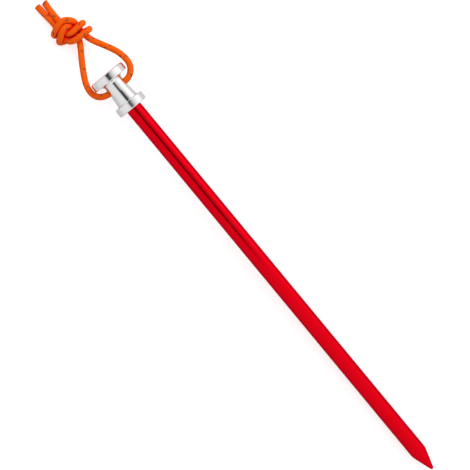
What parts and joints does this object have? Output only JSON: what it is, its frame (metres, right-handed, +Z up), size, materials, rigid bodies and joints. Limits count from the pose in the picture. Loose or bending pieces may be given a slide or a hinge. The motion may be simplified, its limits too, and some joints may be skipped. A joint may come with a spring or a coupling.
{
  "type": "tent peg",
  "caption": "Round metal tent peg with a pointed rod, a spool-shaped head with a cross hole, and a knotted pull loop of cord.",
  "frame": {"origin": "on the ground below the middle of the peg, which lies on the rim of its head and the shoulder of its point", "axes": "+X along the peg from head to tip, +Z up, +Y across the peg"},
  "size_m": [0.2542, 0.0224, 0.0165],
  "materials": {
    "shaft_metal": "red anodised, satin sheen",
    "head_metal": "bright turned",
    "cord_sheath": "woven orange sheath with small dark flecks"
  },
  "bodies": {
    "peg": {"shaft": "shaft_metal", "head": "head_metal"},
    "loop": {"cord_left": "cord_sheath", "cord_right": "cord_sheath"}
  },
  "joints": [
    {"name": "loop_swing", "type": "hinge", "parent": "peg", "child": "loop", "pos_m": [-0.09939, 0, 0.0081], "axis": [0, 1, 0], "range_deg": [-152, 172]}
  ]
}
